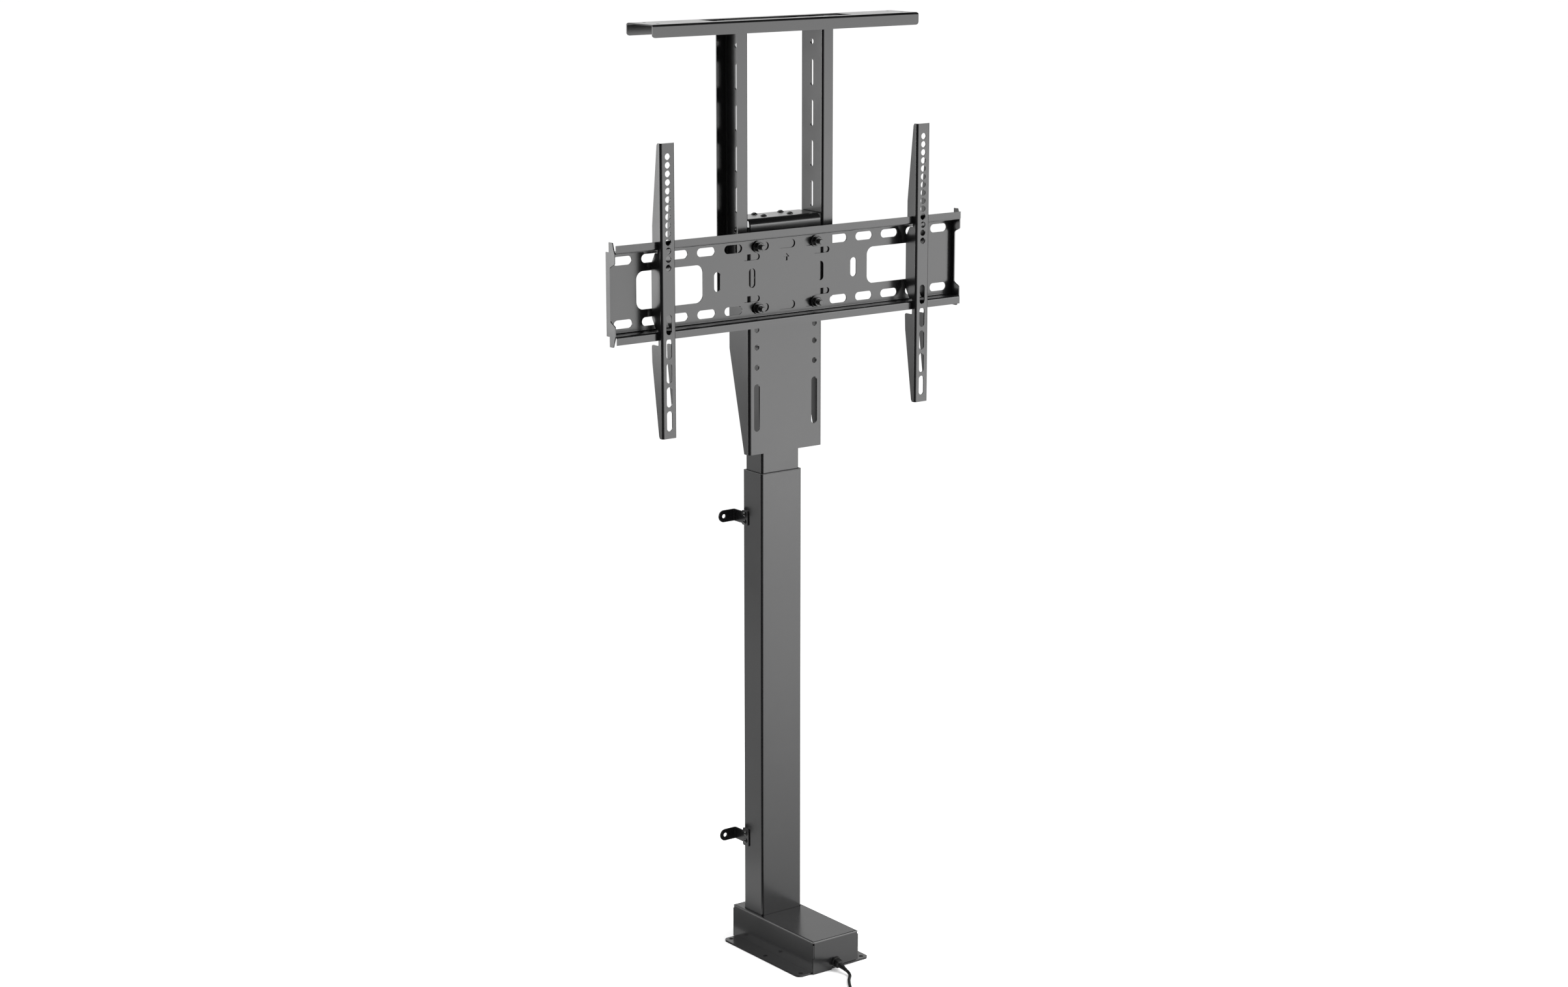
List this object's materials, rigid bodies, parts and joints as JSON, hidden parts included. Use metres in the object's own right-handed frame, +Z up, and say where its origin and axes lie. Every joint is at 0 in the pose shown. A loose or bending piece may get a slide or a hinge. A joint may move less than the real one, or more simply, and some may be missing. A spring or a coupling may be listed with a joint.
{
  "type": "tv lift mechanism",
  "caption": "Motorised floor-standing lift for a flat screen: telescopic column on a bolted, covered base, with a slotted screen plate, hook-on arms and uprights for the cabinet lid.",
  "frame": {"origin": "middle of the six base screws, on the floor, under the middle of the base plate", "axes": "+Z up along the column's travel, -Y towards the screen and the viewer, +X to the viewer's right"},
  "size_m": [0.656, 0.4518, 1.4677],
  "materials": {
    "black_steel": "satin powder coat",
    "black_hardware": "black zinc",
    "bright_steel": "plain zinc",
    "cast_alloy": "die cast",
    "bronze": "machined",
    "glide_plastic": "moulded acetal",
    "motor_paint": "semi gloss",
    "case_steel": "plated sheet",
    "board_green": "circuit board",
    "component_black": "moulded",
    "cord_rubber": "soft sheath",
    "tie_plastic": "flexible strap",
    "plug_plastic": "moulded plug",
    "pin_brass": "plated pins"
  },
  "bodies": {
    "base": {"base_plate": "black_steel", "base_cover": "black_steel", "cover_screws": "bright_steel", "gear_housing": "cast_alloy", "gear_cap": "cast_alloy", "thrust_bearing": "bright_steel", "motor_body": "motor_paint", "power_supply": "case_steel", "control_board": "board_green", "board_posts": "bronze", "board_parts": "component_black", "foot_screws": "bright_steel", "outer_tube": "black_steel", "outer_glide": "glide_plastic", "wall_tabs": "black_hardware", "wall_tab_screws": "black_hardware", "strain_relief": "cord_rubber", "power_cord": "cord_rubber", "cord_coil": "cord_rubber", "cord_tail": "cord_rubber", "coil_tie": "tie_plastic", "plug_body": "plug_plastic", "plug_pins": "pin_brass"},
    "drive_shaft": {"drive_screw": "bright_steel", "worm_wheel": "bronze"},
    "worm_shaft": {"worm": "bright_steel", "motor_shaft": "bright_steel"},
    "middle_stage": {"middle_tube": "black_steel", "middle_foot_block": "glide_plastic", "drive_nut": "bronze", "middle_foot_glide": "glide_plastic", "middle_top_glide": "glide_plastic", "hollow_bearing": "bright_steel"},
    "hollow_shaft": {"hollow_screw": "bright_steel"},
    "carriage": {"inner_tube": "black_steel", "inner_foot_block": "glide_plastic", "hollow_nut": "bronze", "inner_foot_glide": "glide_plastic", "inner_top_block": "cast_alloy", "mount_bracket": "black_steel", "bracket_screws": "black_hardware", "side_bolts": "black_hardware", "side_nuts": "bright_steel", "screen_plate": "black_steel", "screen_bolts": "black_hardware", "screen_washers": "black_hardware", "screen_nuts": "black_hardware"},
    "lid_frame": {"upright_left": "black_steel", "upright_right": "black_steel", "lid_plate": "black_steel", "lid_straps": "black_steel", "lid_screws": "black_hardware"},
    "arm_left_body": {"arm_left": "black_steel"},
    "arm_right_body": {"arm_right": "black_steel"}
  },
  "joints": [
    {"name": "stage_lift", "type": "slide", "parent": "base", "child": "middle_stage", "axis": [0, 0, 1], "range_m": [-0.195, 0.305]},
    {"name": "carriage_lift", "type": "slide", "parent": "middle_stage", "child": "carriage", "axis": [0, 0, 1], "range_m": [-0.1955, 0.3055]},
    {"name": "screw_spin", "type": "hinge", "parent": "base", "child": "drive_shaft", "pos_m": [0, 0.061, 0], "axis": [0, 0, 1], "range_deg": [-3515, 5495]},
    {"name": "hollow_spin", "type": "hinge", "parent": "middle_stage", "child": "hollow_shaft", "pos_m": [0, 0.061, 0.257], "axis": [0, 0, 1], "range_deg": [-3515, 5495]},
    {"name": "worm_spin", "type": "hinge", "parent": "base", "child": "worm_shaft", "pos_m": [-0.0238, 0.061, 0.02705], "axis": [0, 1, 0], "range_deg": [-105350, 164750]},
    {"name": "lid_height", "type": "slide", "parent": "carriage", "child": "lid_frame", "axis": [0, 0, 1], "range_m": [-0.0015, 0.031]},
    {"name": "arm_left_slide", "type": "slide", "parent": "carriage", "child": "arm_left_body", "axis": [1, 0, 0], "range_m": [-0.07, 0.16]},
    {"name": "arm_right_slide", "type": "slide", "parent": "carriage", "child": "arm_right_body", "axis": [1, 0, 0], "range_m": [-0.16, 0.07]}
  ],
  "couplings": [
    {"joint": "carriage_lift", "follows": "stage_lift", "ratio": 1},
    {"joint": "screw_spin", "follows": "stage_lift", "rad_per_m": 314.16},
    {"joint": "hollow_spin", "follows": "stage_lift", "rad_per_m": 314.16},
    {"joint": "worm_spin", "follows": "stage_lift", "rad_per_m": 9424.8}
  ]
}
